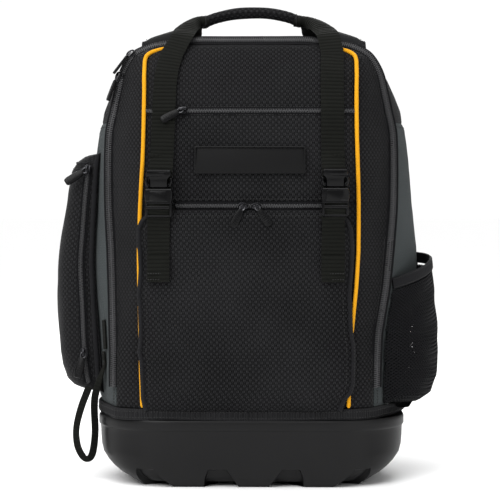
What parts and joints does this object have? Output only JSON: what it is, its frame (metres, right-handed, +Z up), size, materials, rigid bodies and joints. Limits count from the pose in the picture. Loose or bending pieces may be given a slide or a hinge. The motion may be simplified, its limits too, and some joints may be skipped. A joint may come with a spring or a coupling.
{
  "type": "tool backpack",
  "caption": "Tool backpack with a hard moulded base, zipped front and side pockets, a net pocket, buckled front straps, a top handle and padded shoulder straps.",
  "frame": {"origin": "on the floor, at the middle of the underside of the moulded base", "axes": "+Z up the bag, -Y towards the front with the pockets, +X to the net pocket's side"},
  "size_m": [0.4318, 0.2851, 0.5243],
  "materials": {
    "black_fabric": "black ballistic weave",
    "grey_fabric": "dark grey weave",
    "webbing": "ribbed woven webbing",
    "padding": "padded cloth",
    "mesh_fabric": "open net",
    "yellow_piping": "woven piping",
    "base_plastic": "satin moulded",
    "buckle_plastic": "moulded, slightly glossy",
    "badge_rubber": "moulded rubber",
    "zipper_tape": "zip tape and coil",
    "zipper_pull": "moulded pull",
    "zipper_metal": "dark plated metal"
  },
  "bodies": {
    "root": {"base_tub": "base_plastic", "base_binding": "webbing", "front_panel": "black_fabric", "front_side_left": "black_fabric", "front_side_right": "black_fabric", "side_panel_left": "grey_fabric", "side_panel_right": "grey_fabric", "top_gusset": "black_fabric", "back_panel": "padding", "top_pocket": "black_fabric", "middle_pocket": "black_fabric", "lower_pocket": "black_fabric", "piping_left": "yellow_piping", "piping_right": "yellow_piping", "main_zipper": "zipper_tape", "top_zipper": "zipper_tape", "pocket_zipper": "zipper_tape", "top_slider": "zipper_metal", "top_pull": "zipper_pull", "pocket_left_slider": "zipper_metal", "pocket_left_pull": "zipper_pull", "pocket_right_slider": "zipper_metal", "pocket_right_pull": "zipper_pull", "main_upper_slider": "zipper_metal", "main_upper_pull": "zipper_pull", "main_lower_slider": "zipper_metal", "main_lower_pull": "zipper_pull", "badge_plate": "badge_rubber", "strap_upper_left": "webbing", "strap_upper_right": "webbing", "strap_lower_left": "webbing", "strap_lower_right": "webbing", "handle_strap_left": "webbing", "handle_strap_right": "webbing", "buckle_socket_left": "buckle_plastic", "buckle_socket_right": "buckle_plastic", "buckle_plug_left": "buckle_plastic", "buckle_plug_right": "buckle_plastic", "handle_grip": "padding", "shoulder_strap_left": "padding", "shoulder_strap_right": "padding", "strap_adjuster_left": "buckle_plastic", "strap_adjuster_right": "buckle_plastic", "strap_tail_left": "webbing", "strap_tail_right": "webbing", "side_pocket": "black_fabric", "side_zipper": "zipper_tape", "side_upper_slider": "zipper_metal", "side_upper_pull": "zipper_pull", "side_lower_slider": "zipper_metal", "side_lower_pull": "zipper_pull", "side_pocket_tab": "webbing", "hanging_loop": "webbing", "mesh_pocket": "mesh_fabric", "mesh_binding": "webbing", "mesh_tab": "webbing"}
  },
  "joints": []
}
